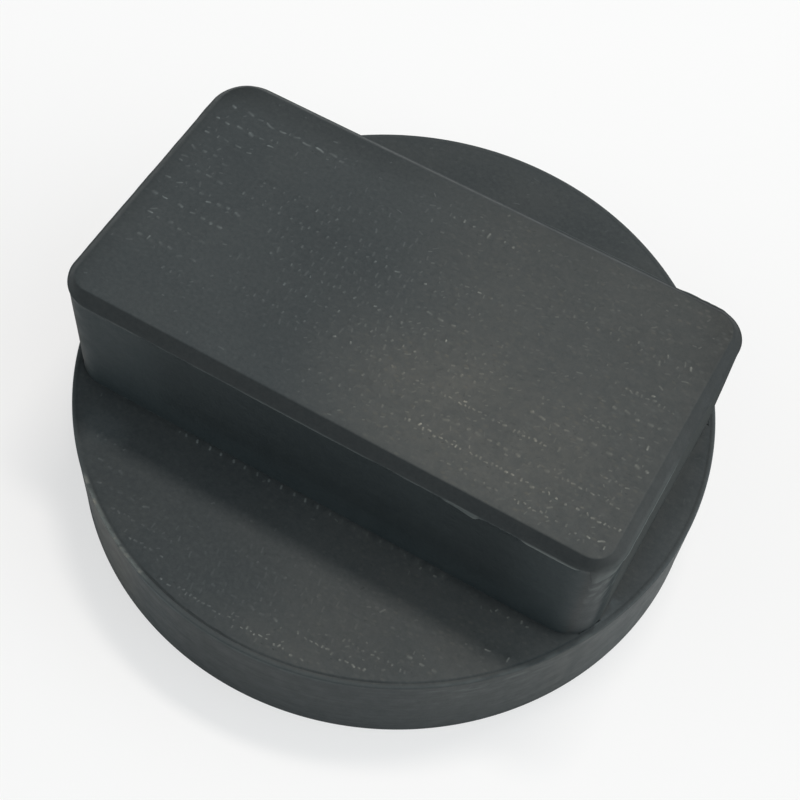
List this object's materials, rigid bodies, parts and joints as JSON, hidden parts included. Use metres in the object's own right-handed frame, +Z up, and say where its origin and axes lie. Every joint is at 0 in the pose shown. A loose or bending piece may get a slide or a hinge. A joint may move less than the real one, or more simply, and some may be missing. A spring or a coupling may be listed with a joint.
{
  "type": "rubber jack pad",
  "caption": "Round moulded rubber pad with a raised rectangular lug that plugs into a vehicle's jacking socket and keeps a jack's saddle from slipping or marking it.",
  "frame": {"origin": "centre of the flat underside", "axes": "+Z up through the lug, +X along the lug's long side, +Y across it"},
  "size_m": [0.066, 0.066, 0.0265],
  "materials": {
    "rubber": "matte dark grey, moulded, with faint rows of tool marks"
  },
  "bodies": {
    "root": {"jack_pad": "rubber"}
  },
  "joints": []
}
